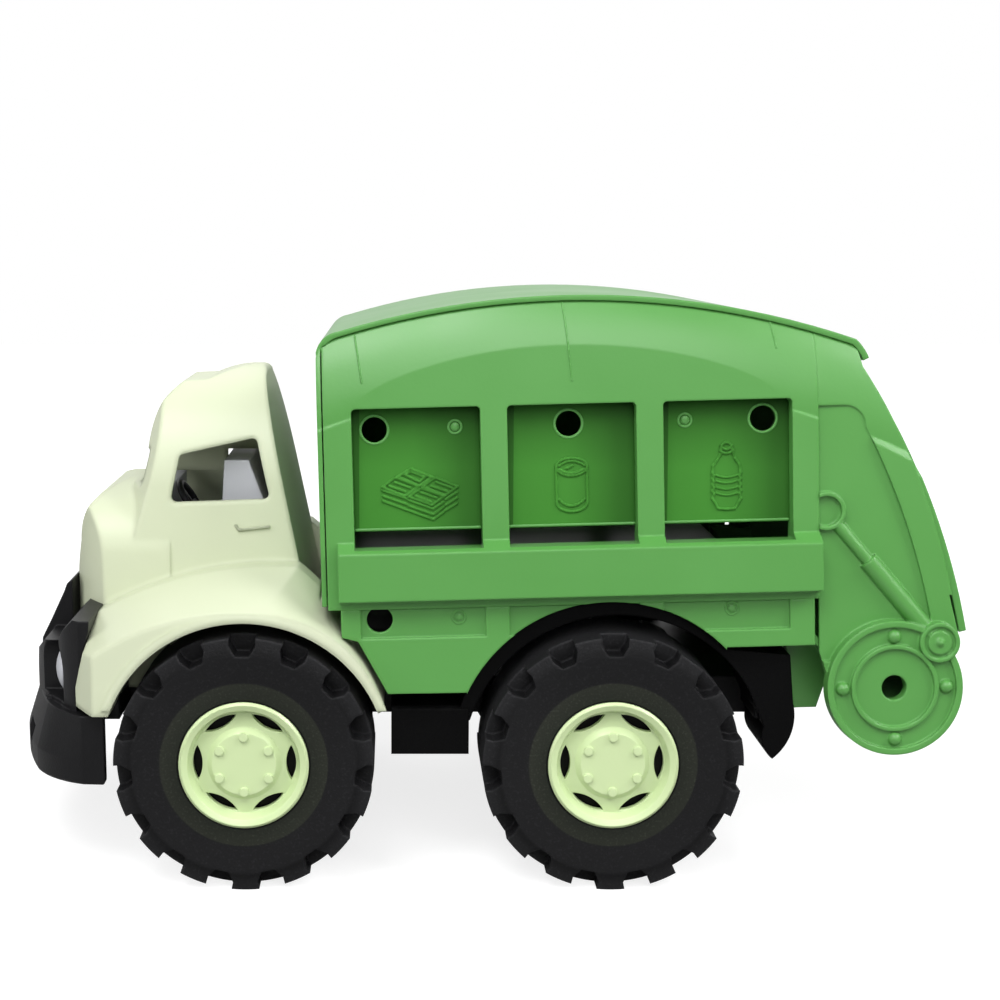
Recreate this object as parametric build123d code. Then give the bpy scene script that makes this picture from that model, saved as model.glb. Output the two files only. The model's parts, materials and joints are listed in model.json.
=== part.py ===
"""Toy refuse truck: moulded cab, chassis, tipping bed with three sorting bays, tailgate and four wheels.

Units are millimetres. +X is the front, +Y the truck's left side, +Z up.
The origin is on the floor, at the middle of the truck's length and width.
Places along the truck are given as distances from the front axle, forwards positive.
The bed is drawn level, then turned by its small rake about the tipping hinge.
"""
import os
from math import asin, cos, hypot, radians, sin, tan

from build123d import *

# ---- wheels and axles -------------------------------------------------------
front_axle_x = 70.64
wheelbase = 111.7
tyre_radius = 39.5
tyre_width = 36.0
tyre_face_y = 80.0
axle_radius = 3.0
axle_clearance = 0.05
axle_overhang = 2.0
side_play = 0.5

rim_radius = 19.7
rim_depth = 7.0
rim_gap = 0.2
rim_ring = 2.6
rim_web = 2.0
hub_cap_radius = 10.3
hub_cap_height = 4.2
bolt_count = 6
bolt_radius = 1.4
bolt_circle = 8.6
window_count = 6
window_length = 11.0
window_width = 3.0
window_circle = 14.2
lug_count = 15
notch_depth = 5.6
notch_width = 8.0
notch_reach = 7.5
shoulder_drop = 1.0
shoulder_run = 5.5
sidewall_step_radius = 25.7
sidewall_step = 0.8

# ---- cab --------------------------------------------------------------------
wall = 2.2
cab_floor_z = 57.0
cab_rear = -22.8
roof_z = 155.4
shoulder_z = 120.0
shoulder_half = 39.0
belt_half = 42.5
windscreen_lean = 18.0
windscreen_pivot_z = 128.0
fender_inset = 3.0
fender_gap = 4.0
fender_root_y = 49.0
fender_bottom_z = 54.0
fender_front = 54.5
fender_lip = 2.7
fender_lip_out = 0.6
lamp_radius = 7.6
lamp_y = 51.0
lamp_z = 63.2
lamp_pocket_gap = 0.9
lamp_house_half = 66.0
bumper_bottom_z = 30.3
bumper_top_z = 52.3
bumper_round = 1.4
slat_count = 4
slat_pitch = 5.6
slat_height = 2.4

# ---- chassis ----------------------------------------------------------------
frame_half = 40.0
frame_front = 40.0
frame_rear = -164.0
frame_bottom_z = 45.0
frame_top_z = cab_floor_z
rail = 3.0
step_front = -44.6
step_length = 24.0
step_out = 26.0
step_top_z = 54.3
step_bottom_z = 39.0
guard_gap = 4.0
guard_thickness = 4.5
guard_out = 26.0
saddle_length = 14.0

# ---- bed --------------------------------------------------------------------
rake = 1.5
hinge_back = 173.2
hinge_z = 54.5
hinge_radius = 3.0
hinge_clearance = 0.05
hinge_lug = 6.0
lug_width = 4.4
lug_gap = 3.0
arm_gap = 0.3
arm_width = 8.0
side_lean = 5.0
side_base_half = 73.0
side_base_z = 60.0
panel = 2.4
bed_front = -24.6
tail_x = -175.2
skirt_z = 89.2
floor_z = 90.4
cover_thickness = 1.6
front_thickness = 1.4
cover_seam = 0.4
cover_half = 58.5
crown_half = 57.5
bay_count = 3
bay_width = 38.8
bay_corner = 1.3
bay_pitch = 46.85
bay_front = -34.9
bay_top_z = 150.0
bay_panel_bottom_z = 113.2
slot_bottom_z = 107.6
bay_depth = 5.0
bay_hole_radius = 3.95
ledge_out = 5.0
ledge_bottom_z = 91.4
ledge_top_z = 109.6
ledge_bevel = 3.0
disc_radius = 20.4
disc_out = 3.0
disc_hole_radius = 3.8
gate_thickness = 2.2
gate_side_gap = 0.4
gate_bar_radius = 2.2
gate_pin_radius = 1.5
gate_pin_length = 3.0
gate_boss_radius = 4.0

rear_axle = -wheelbase
hinge = -hinge_back
axle_z = tyre_radius
fender_half = tyre_face_y - fender_inset


def outline(start, *steps):
    """Closed face from a start point, then end points for lines or (middle, end) pairs for arcs."""
    edges = []
    here = start
    for step in steps:
        if isinstance(step[0], tuple):
            middle, end = step
            edges.append(ThreePointArc(here, middle, end))
        else:
            end = step
            edges.append(Line(here, end))
        here = end
    if here != start:
        edges.append(Line(here, start))
    return make_face(Curve() + edges)


def across(face, low_y, high_y):
    """Side view face, drawn in X and Z, made into a solid between two Y places."""
    return Pos(0, high_y, 0) * Rot(90, 0, 0) * extrude(face, high_y - low_y)


def along(face, low_x, high_x):
    """Front view face, drawn in Y and Z, made into a solid between two X places."""
    return Pos(low_x, 0, 0) * Plane.YZ.location * extrude(face, high_x - low_x)


def upward(face, low_z, high_z):
    """Plan view face made into a solid between two heights."""
    return Pos(0, 0, low_z) * extrude(face, high_z - low_z)


def block(low, high):
    """Box between two opposite corners."""
    size = [b - a for a, b in zip(low, high)]
    return Pos(*low) * Box(*size, align=(Align.MIN, Align.MIN, Align.MIN))


def bar(radius, low_y, high_y, x=0.0, z=0.0):
    """Round bar along Y."""
    return Pos(x, high_y, z) * Rot(90, 0, 0) * Cylinder(
        radius, high_y - low_y, align=(Align.CENTER, Align.CENTER, Align.MIN))


def ring(outer, inner, low_y, high_y, x, z):
    """Round band along Y."""
    return bar(outer, low_y, high_y, x, z) - bar(inner, low_y - 1, high_y + 1, x, z)


def both_sides(piece):
    return [piece, mirror(piece, about=Plane.XZ)]


def in_plane(face, y):
    """Side view face moved to one Y place."""
    return Pos(0, y, 0) * Rot(90, 0, 0) * face


parts = {}

# ---- wheels -----------------------------------------------------------------
# Drawn about the origin, axle along Y, outer face at +Y.
half_width = tyre_width / 2
web_face = half_width - rim_depth
web_outer = web_face + 1.0
tyre_bore = axle_radius + axle_clearance
seat_radius = rim_radius + rim_gap
tyre_profile = outline(
    (tyre_bore, side_play - half_width),
    (seat_radius, side_play - half_width),
    (seat_radius + 1.0, -half_width),
    (tyre_radius - shoulder_run, -half_width),
    (tyre_radius, -half_width + shoulder_drop),
    (tyre_radius, half_width - shoulder_drop),
    (tyre_radius - shoulder_run, half_width),
    (sidewall_step_radius, half_width - sidewall_step),
    (seat_radius, half_width - sidewall_step),
    (seat_radius, web_face),
    (tyre_bore, web_face),
)
tyre = revolve(tyre_profile, Axis.Y)
notch_shoulder = tyre_radius - notch_depth * 0.45
notch_floor = tyre_radius - notch_depth
notch_face = outline(
    (-notch_width / 2, tyre_radius + 2),
    (-notch_width / 2, notch_shoulder),
    (-notch_width * 0.26, notch_floor),
    (notch_width * 0.26, notch_floor),
    (notch_width / 2, notch_shoulder),
    (notch_width / 2, tyre_radius + 2),
)
outer_notch = across(notch_face, half_width - notch_reach, half_width + 1)
inner_notch = across(notch_face, -half_width - 1, notch_reach - half_width)
lug_step = 360 / lug_count
notches = []
for index in range(lug_count):
    notches.append(Rot(0, index * lug_step, 0) * outer_notch)
    notches.append(Rot(0, (index + 0.5) * lug_step, 0) * inner_notch)
tyre = tyre - notches

rim_profile = outline(
    (0, web_outer),
    (rim_radius - rim_ring - 1.0, web_outer),
    (rim_radius - rim_ring, web_face),
    (rim_radius, web_face),
    (rim_radius, half_width - 0.6),
    (rim_radius - 0.8, half_width + 0.2),
    (rim_radius - rim_ring, half_width - 0.6),
    (rim_radius - rim_ring - 1.2, web_outer + rim_web),
    (hub_cap_radius + 1.0, web_outer + rim_web + 0.5),
    (hub_cap_radius - 0.6, web_outer + hub_cap_height),
    (0, web_outer + hub_cap_height),
)
rim = revolve(rim_profile, Axis.Y)
lens_radius = (window_length ** 2 + window_width ** 2) / (4 * window_width)
lens_offset = lens_radius - window_width / 2
window_inner = bar(lens_radius, -half_width, half_width + 2, 0, window_circle + lens_offset)
window_outer = bar(lens_radius, -half_width, half_width + 2, 0, window_circle - lens_offset)
window = window_inner & window_outer
bolt = bar(bolt_radius, web_face, web_outer + hub_cap_height + 0.8, 0, bolt_circle)
rim = rim - [Rot(0, (index + 0.5) * 360 / window_count, 0) * window for index in range(window_count)]
rim = rim + [Rot(0, index * 360 / bolt_count, 0) * bolt for index in range(bolt_count)]
rim = rim - bar(tyre_bore, -half_width, web_outer + rim_web)

wheel_y = tyre_face_y - half_width
axle_end = wheel_y + web_face + axle_overhang
for end, x in (("front", 0.0), ("rear", rear_axle)):
    for side, turn, out_y in (("left", 0, wheel_y), ("right", 180, -wheel_y)):
        place = Pos(x, out_y, axle_z) * Rot(0, 0, turn)
        parts[f"tyre_{end}_{side}"] = place * tyre
        parts[f"rim_{end}_{side}"] = place * rim
    parts[f"{end}_axle"] = bar(axle_radius, -axle_end, axle_end, x, axle_z)


# ---- cab --------------------------------------------------------------------
cabin_side = outline(
    (cab_rear, cab_floor_z), (-3.4, roof_z - 3.4), ((-2.6, roof_z - 0.9), (0.4, roof_z)), ((8.0, roof_z - 1.4), (15.5, roof_z - 4.2)), (23.3, roof_z - 4.6),
    ((30.0, 143.7), (34.2, 129.0)), (40.3, 117.0), (40.3, cab_floor_z))
hood_side = outline(
    (26.0, cab_floor_z), (26.0, 119.0), (41.0, 118.6), (49.5, 115.2),
    ((54.8, 108.6), (57.4, 98.8)), (60.2, 87.5), (61.2, cab_floor_z))
cabin_section = outline(
    (-belt_half, cab_floor_z), (-shoulder_half, shoulder_z), ((0, roof_z), (shoulder_half, shoulder_z)),
    (belt_half, cab_floor_z))
cabin_plan = outline(
    (-40.0, -50.0), (-40.0, 50.0), (23.5, 50.0), (28.8, 38.0), ((37.0, 0), (28.8, -38.0)), (23.5, -50.0))
hood_plan = outline(
    (0, -50.0), (0, 50.0), (42.0, 50.0), (46.0, 43.0), ((61.8, 0), (46.0, -43.0)), (42.0, -50.0))


def hood_section(inset):
    """Front view of the hood: upright sides, well rounded shoulders and a crowned top."""
    half = belt_half - inset
    slant = 0.7 * inset
    shoulder = (half - 1.8, 98.0)
    bend = (36.9 - slant, 107.7 - slant)
    brow = (28.0, 113.9 - inset)
    top = (0, 118.4 - inset)
    return outline(
        (-half, cab_floor_z - inset), (-shoulder[0], shoulder[1]), ((-bend[0], bend[1]), (-brow[0], brow[1])),
        (top, brow), (bend, shoulder), (half, cab_floor_z - inset))


def cab_body(inset):
    """Cabin and hood as one solid, every face moved in by the inset, the floor left open."""
    def shrink(face):
        return offset(face, -inset, kind=Kind.INTERSECTION) if inset else face

    cabin = across(shrink(cabin_side), -60, 60) & along(shrink(cabin_section), -60, 90)
    plan = upward(shrink(cabin_plan), -80, 80)
    cabin = cabin & (Pos(0, 0, windscreen_pivot_z) * Rot(0, -windscreen_lean, 0) * plan)
    hood = across(shrink(hood_side), -60, 60) & along(hood_section(inset), -60, 90)
    hood = hood & upward(shrink(hood_plan), 0, 200)
    return cabin + hood


well_radius = tyre_radius + fender_gap
tip_x = 1.0 - well_radius
tip_z = fender_bottom_z + 2.0


def fender_outline(nose_top, rise, crest, back_bend):
    """Side view of a fender: upright nose, curved top and a tail that falls to the tip."""
    return outline(
        (tip_x, tip_z), (tip_x + 4.0, fender_bottom_z), (fender_front, fender_bottom_z), nose_top,
        (rise, crest), (back_bend, (tip_x, tip_z)))


crest_z = axle_z + well_radius
fender_root = fender_outline(
    (48.0, crest_z - 2.6), (22.0, crest_z + 8.0), (-15.2, crest_z + 11.6), (-31.0, crest_z - 5.5))
fender_edge = fender_outline(
    (49.5, crest_z - 13.0), (27.0, crest_z - 1.2), (-6.0, crest_z + 2.6), (-28.8, crest_z - 6.2))
fender = loft([in_plane(fender_root, fender_root_y), in_plane(fender_edge, fender_half)], ruled=True)
fender = fender + across(fender_root, belt_half - 4.0, fender_root_y)
fender_nose = upward(
    outline((90.0, 40.0), (64.5, 40.0), ((53.4, 64.0), (45.5, fender_half + 0.5)), (45.5, 100.0), (90.0, 100.0)), 0, 120)
lip_ring = ring(
    well_radius + fender_lip, well_radius, fender_half - 1.0, fender_half + fender_lip_out, 0, axle_z)
lip_ring = lip_ring & block((-80.0, 0, tip_z), (80.0, 100.0, 100.0))
fender = fender + lip_ring - fender_nose
cab_outer = cab_body(0)
cab = cab_outer + both_sides(fender)
cab = cab - cab_body(wall)
cab = cab - block((cab_rear - 0.4, wall - belt_half, 0), (60.6, belt_half - wall, cab_floor_z + 12))
cab = cab - both_sides(bar(well_radius, belt_half + 0.3, 90, 0, axle_z))
window_low = 115.0
window_high = 132.0
side_window = outline(
    (-6.0, window_low - 0.3), (-1.6, window_high + 2.1), (22.8, window_high - 3.2), (26.0, window_low - 1.4))
side_window = fillet(side_window.vertices(), 1.8)
cab = cab - across(side_window, -60, 60)
windscreen = outline((-33.0, 117.8), (-30.0, 129.6), (30.0, 129.6), (33.0, 117.8))
windscreen = fillet(windscreen.vertices(), 2.0)
cab = cab - along(windscreen, 20.0, 60.0)
cab = cab - block((-60.0, -60.0, 85.3), (-22.2, 60.0, 100.0))
# A stiffening web hangs from the middle of the roof, behind the windscreen and above the seat.
web_face = outline((-8.0, 126.8), (10.5, 126.8), (10.5, 119.5), (28.5, 119.5), (28.5, roof_z), (-8.0, roof_z))
web = across(web_face, 3.8, 5.4) & cab_outer
parts["cab_shell"] = cab + web

# ---- cab insert and steering wheel ------------------------------------------
insert_floor_z = cab_floor_z + 0.2
seat_floor_z = cab_floor_z + 5.0
insert_half = 30.0
insert_side = outline(
    (-14.0, insert_floor_z), (36.5, insert_floor_z), (36.5, 104.0), (32.5, 115.0), (29.0, 115.0),
    (29.0, seat_floor_z), (25.5, seat_floor_z), (25.5, 92.0), (11.5, 92.0), (9.3, 126.0), (1.5, 126.0),
    (-3.6, 112.0), (-5.0, seat_floor_z), (-14.0, seat_floor_z))
wheel_rim_radius = 8.0
steering_y = 15.0
steering = Torus(wheel_rim_radius, 1.1) + Cylinder(1.4, 1.6) + [
    Rot(0, 0, 120 * index + 30) * Pos(wheel_rim_radius / 2, 0, 0) * Box(wheel_rim_radius, 1.6, 1.2)
    for index in range(3)]
steering = steering + Cylinder(1.4, 11.0, align=(Align.CENTER, Align.CENTER, Align.MAX))
steering = Pos(21.6, steering_y, 109.5) * Rot(0, -60, 0) * steering
parts["steering_wheel"] = steering
parts["seat_and_dash"] = across(insert_side, -insert_half, insert_half) - steering

# ---- grille, bumper and headlamps -------------------------------------------
def bumper_face(corner, bend, nose):
    """Plan view of the bumper: its outer corner, the middle of the bend and the nose are given."""
    return outline(
        (43.5, 71.0), (50.5, 70.5), (bend, corner), ((nose, 0), (corner[0], -corner[1])),
        ((bend[0], -bend[1]), (50.5, -70.5)), (43.5, -71.0), (43.5, -67.5), ((58.0, -57.0), (61.5, -50.0)),
        ((69.5, 0), (61.5, 50.0)), ((58.0, 57.0), (43.5, 67.5)))


bumper_waist_z = bumper_bottom_z + 8.0
bumper_low = bumper_face((67.2, 56.0), (60.5, 64.6), 78.4)
bumper_high = bumper_face((63.6, 54.6), (58.2, 63.2), 73.8)
bumper = upward(bumper_low, bumper_bottom_z, bumper_waist_z)
bumper = fillet(bumper.edges().group_by(Axis.Z)[0], bumper_round)
bumper = bumper + loft(
    [Pos(0, 0, bumper_waist_z) * bumper_low, Pos(0, 0, bumper_top_z) * bumper_high], ruled=True)
fog_pocket = block((60.0, 34.0, bumper_bottom_z + 4.0), (90.0, 46.0, bumper_bottom_z + 12.0))
apron_side = outline(
    (40.0, 50.0), (74.0, 48.0), (72.2, 57.0), (71.0, 66.0), (67.0, 74.0), (63.2, 82.0), (62.2, 84.6), (60.4, 86.0),
    (60.4, cab_floor_z - 1.0), (40.0, cab_floor_z - 1.0))
apron = across(apron_side, -26.0, 26.0)
apron_plan = outline((30.0, -26.0), (30.0, 26.0), (70.6, 26.0), ((75.4, 0), (70.6, -26.0)))
apron = apron & upward(apron_plan, 0, 200)
slat_floors = (67.4, 65.4, 63.2, 61.8)
for index, floor_x in enumerate(slat_floors):
    slat_z = 63.6 + slat_pitch * index
    apron = apron - block((floor_x, -20.0, slat_z), (90.0, 20.0, slat_z + slat_height))
lamp_side = outline(
    (53.0, 50.5), (51.0, 68.0), (48.2, 78.0), (48.0, 81.0), (53.4, 81.0), (57.6, 76.5), (61.6, 69.5), (67.0, 50.5))
lamp_house = across(lamp_side, 27.0, lamp_house_half)
lamp_plan = outline(
    (40.0, lamp_house_half), (51.5, lamp_house_half), ((57.0, 60.5), (60.4, 50.0)), (65.4, 26.0), (40.0, 26.0))
lamp_house = lamp_house & upward(lamp_plan, 0, 200)
pocket_radius = lamp_radius + lamp_pocket_gap
pocket_back = 57.0
lamp_pocket = Pos(pocket_back, lamp_y, lamp_z) * Rot(0, 90, 0) * Cylinder(
    pocket_radius, 30.0, align=(Align.CENTER, Align.CENTER, Align.MIN))
lamp_pocket = lamp_pocket + block(
    (pocket_back, lamp_y - pocket_radius, bumper_top_z + 1.2), (pocket_back + 30, lamp_y + pocket_radius, lamp_z))
fascia_side = outline(
    (frame_front, 49.0), (74.0, 49.0), (72.0, 57.0), (70.6, 65.0), (66.0, 70.5), (frame_front, 70.5))
fascia_plan = outline(
    (30.0, -62.0), (30.0, 62.0), (55.0, 62.0), ((66.4, 44.0), (73.6, 0)), ((66.4, -44.0), (55.0, -62.0)))
fascia = across(fascia_side, -62.0, 62.0) & upward(fascia_plan, 0, 200)
fascia = fascia - block((30.0, -80.0, cab_floor_z), (60.4, 80.0, 200.0))
grille = bumper + apron + fascia + both_sides(lamp_house)
grille = grille + block((frame_front, -50.0, 48.5), (65.0, 50.0, cab_floor_z - 1.0))
grille = grille - both_sides(lamp_pocket) - both_sides(fog_pocket)
parts["grille_bumper"] = grille - cab - cab_outer
lamp_rim_x = pocket_back + 1.4
lamp_tip_x = lamp_rim_x + 2.8
lamp_bulge_x = (lamp_tip_x ** 2 - lamp_rim_x ** 2 - lamp_radius ** 2) / (2 * (lamp_tip_x - lamp_rim_x))
lamp_bulge = lamp_tip_x - lamp_bulge_x
lamp_turn = asin(lamp_radius / lamp_bulge) / 2
lamp_middle = (lamp_bulge_x + lamp_bulge * cos(lamp_turn), lamp_z + lamp_bulge * sin(lamp_turn))
lamp_face = outline(
    (pocket_back, lamp_z), (pocket_back, lamp_z + lamp_radius), (lamp_rim_x, lamp_z + lamp_radius),
    (lamp_middle, (lamp_tip_x, lamp_z)))
lamp = Pos(0, lamp_y, 0) * revolve(in_plane(lamp_face, 0), Axis((0, 0, lamp_z), (1, 0, 0)))
lamps = both_sides(lamp)
parts["headlamps"] = lamps[0] + lamps[1]

# ---- chassis ----------------------------------------------------------------
frame = block((frame_rear, -frame_half, frame_bottom_z), (frame_front, frame_half, frame_top_z))
frame = frame - block(
    (frame_rear + rail, rail - frame_half, frame_bottom_z - 1),
    (frame_front - rail, frame_half - rail, frame_top_z - rail))
saddle_wall = 8.0
for x in (0.0, rear_axle):
    front_x = x + saddle_length / 2
    rear_x = x - saddle_length / 2
    saddle = block((rear_x, frame_half - saddle_wall, axle_z - 6.0), (front_x, frame_half, frame_top_z))
    frame = frame + both_sides(saddle)
    frame = frame - bar(axle_radius + axle_clearance, -frame_half - 1, frame_half + 1, x, axle_z)
rear_beam_half = frame_half + 21.0
rear_beam = block(
    (frame_rear - 2.0, -rear_beam_half, frame_top_z - 8.0), (frame_rear + 6.0, rear_beam_half, frame_top_z))
lug_y = frame_half + lug_gap
ear_face = outline(
    (frame_rear + 2.0, frame_top_z), (hinge, hinge_z + hinge_lug),
    ((hinge - hinge_lug, hinge_z), (hinge, hinge_z - hinge_lug)), (frame_rear + 2.0, frame_top_z - 8.0))
ear = across(ear_face, lug_y, lug_y + lug_width)
ear = ear - bar(hinge_radius + hinge_clearance, lug_y - 1, lug_y + lug_width + 1, hinge, hinge_z)
rest_top_z = 86.45
rest_front = -36.5
rest_rear = -46.0
rest = block((rest_rear, -30.0, frame_top_z - 1), (rest_front, 30.0, rest_top_z))
rest = rest + block((rest_rear, -56.0, rest_top_z - 10.0), (rest_front, 56.0, rest_top_z))
frame = frame + rear_beam + both_sides(ear) + rest
parts["chassis_frame"] = frame - parts["grille_bumper"] - cab

step_box = block((step_front - step_length, frame_half, step_bottom_z), (step_front, frame_half + step_out, step_top_z))
step_box = chamfer(step_box.edges().filter_by(Axis.X).group_by(Axis.Z)[-1].sort_by(Axis.Y)[-1], 1.0)
parts["side_step_left"] = step_box

guard_radius = tyre_radius + guard_gap
guard_back = rear_axle - guard_radius
flap_tip_z = axle_z - 2.1
guard_face = outline(
    (rear_axle + guard_radius + 3.5, axle_z + 10.0),
    ((rear_axle, axle_z + guard_radius + guard_thickness), (guard_back + 8.7, axle_z + 33.0)),
    (guard_back - 11.9, axle_z + 31.0), (guard_back - 13.3, axle_z + 16.0),
    ((guard_back - 12.0, axle_z + 3.4), (guard_back - 7.5, flap_tip_z)),
    ((guard_back - 5.9, axle_z - 0.5), (guard_back - 4.6, axle_z + 8.4)),
    (guard_back + 0.6, axle_z + 20.4),
    ((rear_axle, axle_z + guard_radius), (rear_axle + guard_radius - 0.7, axle_z + 10.3)))
guard = across(guard_face, frame_half, frame_half + guard_out)
parts["mudguard_left"] = guard - rear_beam - ear - step_box

# ---- bed --------------------------------------------------------------------
# The roof line is one arc; the crown and the walls below it are turned about that arc's centre.
roof_front = (-31.5, 172.64)
roof_mid = (-98.3, 181.85)
roof_rear = (-188.0, 166.37)
roof_centre = (-99.88, -76.59)
roof_radius = hypot(roof_mid[0] - roof_centre[0], roof_mid[1] - roof_centre[1])
bed_rear_top = (-189.6, 158.1)
bed_rear_mid = (-205.9, 123.5)
bed_rear_low = (-217.0, 77.5)
corner_low_z = 166.6
corner_mid = (-26.7, 170.3)


def bed_profile(opened):
    """Side view of the bed up to its crown, its ends and bottom moved out by the given amount."""
    low_z = bed_rear_low[1] - opened
    top_z = roof_mid[1] + 20.0
    rear_x = roof_rear[0] - opened
    front_x = bed_front + opened
    rear_arc = ((bed_rear_mid[0] - opened, bed_rear_mid[1]), (bed_rear_low[0] - opened, low_z))
    rear = [(rear_x, top_z), (rear_x, roof_rear[1] - 1.0), (bed_rear_top[0] - opened, bed_rear_top[1]), rear_arc]
    if opened:
        return outline((front_x, low_z), (front_x, top_z), *rear)
    corner_end = (roof_front[0], roof_front[1] - cover_thickness)
    return outline(
        (front_x, low_z), (front_x, corner_low_z - cover_thickness),
        ((corner_mid[0], corner_mid[1] - cover_thickness), corner_end), (roof_mid[0], top_z), *rear)


def lean_wedge(inset):
    """The bed's cross section, its two sides leaning in towards the roof."""
    low_z = 30.0
    high_z = 210.0
    lean = tan(radians(side_lean))
    low_half = side_base_half + (side_base_z - low_z) * lean - inset
    high_half = side_base_half + (side_base_z - high_z) * lean - inset
    face = outline((-low_half, low_z), (-high_half, high_z), (high_half, high_z), (low_half, low_z))
    return along(face, -260.0, 0.0)


def crown_drum(inset, lift):
    """Ring turned about the roof arc's centre, whose rim has the crown's rounded shoulders."""
    top = roof_centre[1] + roof_radius - cover_thickness
    right = [(crown_half - inset, top + lift), (62.6 - inset, top - 9.8 - inset), (65.2 - inset, top - 24.0 - inset)]
    left = [(-y, z) for y, z in right]
    far = 95.0
    bottom = roof_centre[1] + 100.0
    face = outline(
        (-far, bottom), (-far, top - 60.0), left[2], (left[1], left[0]), right[0], (right[1], right[2]),
        (far, top - 60.0), (far, bottom))
    face = Pos(roof_centre[0], 0, 0) * Plane.YZ.location * face
    return revolve(face, Axis((roof_centre[0], 0, roof_centre[1]), (0, 1, 0)))


bed_outer = across(bed_profile(0), -90, 90) & lean_wedge(0) & crown_drum(0, 0)
bed_inner = across(bed_profile(12.0), -90, 90) & lean_wedge(panel) & crown_drum(panel, 0.5)
front_plate = bed_outer & block((bed_front - front_thickness, -100, floor_z), (0, 100, 300))
shell = (bed_outer - bed_inner) & block((-260, 0, skirt_z), (bed_front - front_thickness - cover_seam, 100, 300))


def lean_left(piece):
    """Turn a piece drawn upright, its outer face on Y = 0, onto the leaning left side."""
    return Pos(0, side_base_half, side_base_z) * Rot(side_lean, 0, 0) * Pos(0, 0, -side_base_z) * piece


# Side wall: three bays between solid posts, one slot under each bay panel, and the ledge below them.
wall_front = bed_front - front_thickness - cover_seam
inner_face = -bay_depth - panel
bay_starts = [bay_front - index * bay_pitch for index in range(bay_count)]
surround = across(outline(
    (tail_x, slot_bottom_z - panel), (wall_front, slot_bottom_z - panel),
    (wall_front, bay_top_z + panel), (tail_x, bay_top_z + panel)), inner_face, -panel / 2)
ledge_front = wall_front - 3.5
ledge_face = outline(
    (-1, ledge_bottom_z), (ledge_out, ledge_bottom_z + 0.8), (ledge_out, ledge_top_z - ledge_bevel), (0, ledge_top_z),
    (-1, ledge_top_z))
ledge = along(ledge_face, tail_x, ledge_front)
side = shell & block((tail_x, 0, 0), (0, 100, 300))
side = side + [lean_left(surround), lean_left(ledge)]


def bay_face(front_x, low_z):
    """Outline of one bay from a given height up, its two top corners rounded."""
    rear_x = front_x - bay_width
    face = outline((rear_x, low_z), (front_x, low_z), (front_x, bay_top_z), (rear_x, bay_top_z))
    return fillet(face.vertices().group_by(Axis.Y)[-1], bay_corner)


bay_panels = []
for x in bay_starts:
    side = side - lean_left(across(bay_face(x, slot_bottom_z), -20, 5))
    bay_panels.append(across(bay_face(x, bay_panel_bottom_z), inner_face, -bay_depth))
hole_places = [(-41.7, 143.6), (-100.6, 144.0), (-159.5, 144.1), (-41.9, 86.1)]
holes = [bar(bay_hole_radius, -20, 5, x, z) for x, z in hole_places]
panels = bay_panels[0] + bay_panels[1] + bay_panels[2] - holes
parts["bay_panels_left"] = lean_left(panels)

# Skirt: the wall under the ledge, cut away over the rear wheel.
arch_centre = (rear_axle + 0.3, 41.1)
arch_radius = 48.7
skirt_rear = tail_x + 1.6
skirt_face = outline(
    (wall_front - 3.8, ledge_bottom_z + 1.0), (wall_front - 3.8, 81.0), (-35.2, 79.6), (-43.8, 63.4), (-67.8, 63.2),
    (-67.8, 30.0), (-146.9, 30.0), (-146.9, 75.1), (skirt_rear, 75.1), (skirt_rear, ledge_bottom_z + 1.0))
arch_cut = bar(arch_radius, -20, 20, *arch_centre)
skirt = across(skirt_face, -panel, 0) - arch_cut - holes
recess_depth = 1.2
recess_bottom_z = 80.4
post_width = 7.2
post_fronts = [-29.0, -74.1, -120.8, -166.2]
for front_post, rear_post in zip(post_fronts[:-1], post_fronts[1:]):
    skirt = skirt - across(outline(
        (rear_post, recess_bottom_z), (front_post - post_width, recess_bottom_z),
        (front_post - post_width, ledge_bottom_z + 2), (rear_post, ledge_bottom_z + 2)), -recess_depth, 2)
parts["bed_skirt_left"] = lean_left(skirt) & block((-260, 0, 0), (0, 100, skirt_z))
parts["bed_side_left"] = side - lean_left(arch_cut)

# Tail panel: raised band along the rear edge, round disc with its hole, and a moulded ram relief.
disc_centre = (-197.0, 61.8)
tail_face = outline(
    (tail_x, ledge_bottom_z + 1.0), (tail_x, 73.0), (tail_x - 3.0, 62.0), (-181.0, 52.0), (-205.0, 52.0), bed_rear_low,
    (bed_rear_low[0] + 3.4, ledge_bottom_z + 1.0))
tail = shell & block((-260, 0, 0), (tail_x, 100, 300))
tail = tail + lean_left(across(tail_face, -panel, 0))
band_pocket = across(outline(
    (tail_x + 1, 147.5), (-183.0, 147.5), ((-187.8, 145.5), (-189.5, 141.0)), ((-201.3, 112.0), (-208.6, 83.3)),
    (-208.6, 70.0), (tail_x + 1, 70.0)), -recess_depth, 2)
bead_radius = 13.2
bead_width = 1.3
dome_circle = 15.6
dome_radius = 2.1
disc = bar(disc_radius, -panel, disc_out, *disc_centre)
disc = disc - bar(disc_radius - 1.9, disc_out - 1.2, disc_out + 1, *disc_centre)
disc = disc + ring(bead_radius, bead_radius - bead_width, 0, disc_out, *disc_centre)
domes = [
    Pos(disc_centre[0] + dome_circle * dx, disc_out - 1.2, disc_centre[1] + dome_circle * dz) * Sphere(dome_radius)
    for dx, dz in ((0, 1), (0, -1), (1, 0), (-1, 0))]
ring_low = (-210.4, 75.4)
ring_low_radius = 6.0
ring_high = (-177.4, 115.8)
ring_high_radius = 5.8
ring_line = 1.2
low_boss = bar(ring_low_radius, -panel, disc_out + 0.6, *ring_low)
low_boss = low_boss - ring(ring_low_radius - ring_line, ring_low_radius - 2 * ring_line, disc_out - 0.2, 9, *ring_low)
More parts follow.
